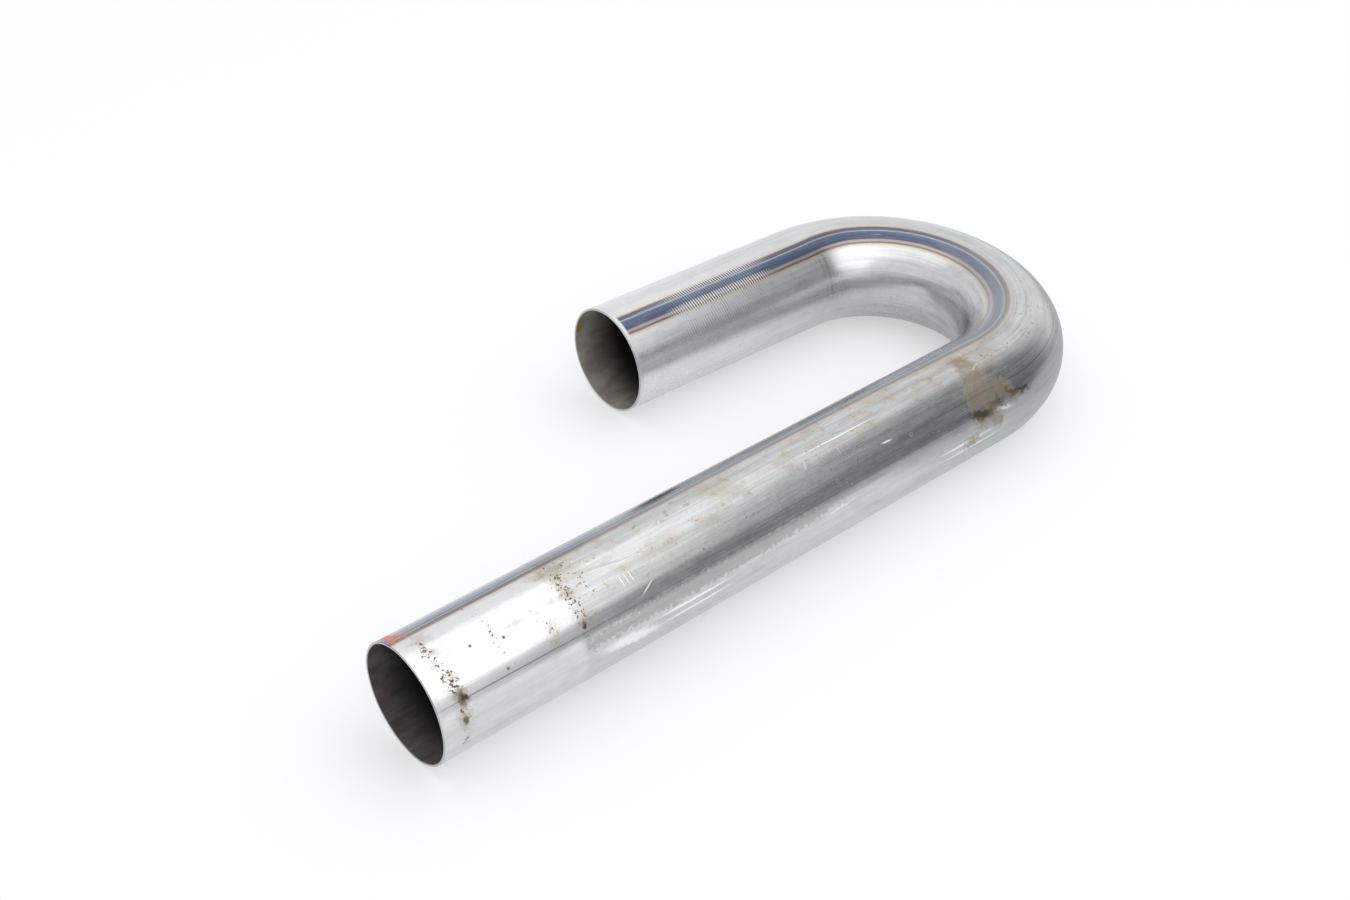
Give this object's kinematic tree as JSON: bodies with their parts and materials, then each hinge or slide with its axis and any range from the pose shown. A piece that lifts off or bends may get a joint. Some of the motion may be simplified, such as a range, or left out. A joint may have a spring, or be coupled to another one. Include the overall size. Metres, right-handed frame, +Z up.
{
  "type": "exhaust j-bend",
  "caption": "Mandrel-bent round exhaust tube in a J: a long and a short straight leg joined by a nearly half-turn bend, both ends sawn square and open.",
  "frame": {"origin": "centre of the footprint, on the surface the tube lies on", "axes": "+X along the long leg towards the bend, +Y from the long leg to the short leg, +Z up"},
  "size_m": [0.5012, 0.2202, 0.0635],
  "materials": {
    "bare_mild_steel": "bare drawn steel with a blued weld line, rust spots and handling marks"
  },
  "bodies": {
    "root": {"j_bend_tube": "bare_mild_steel"}
  },
  "joints": []
}
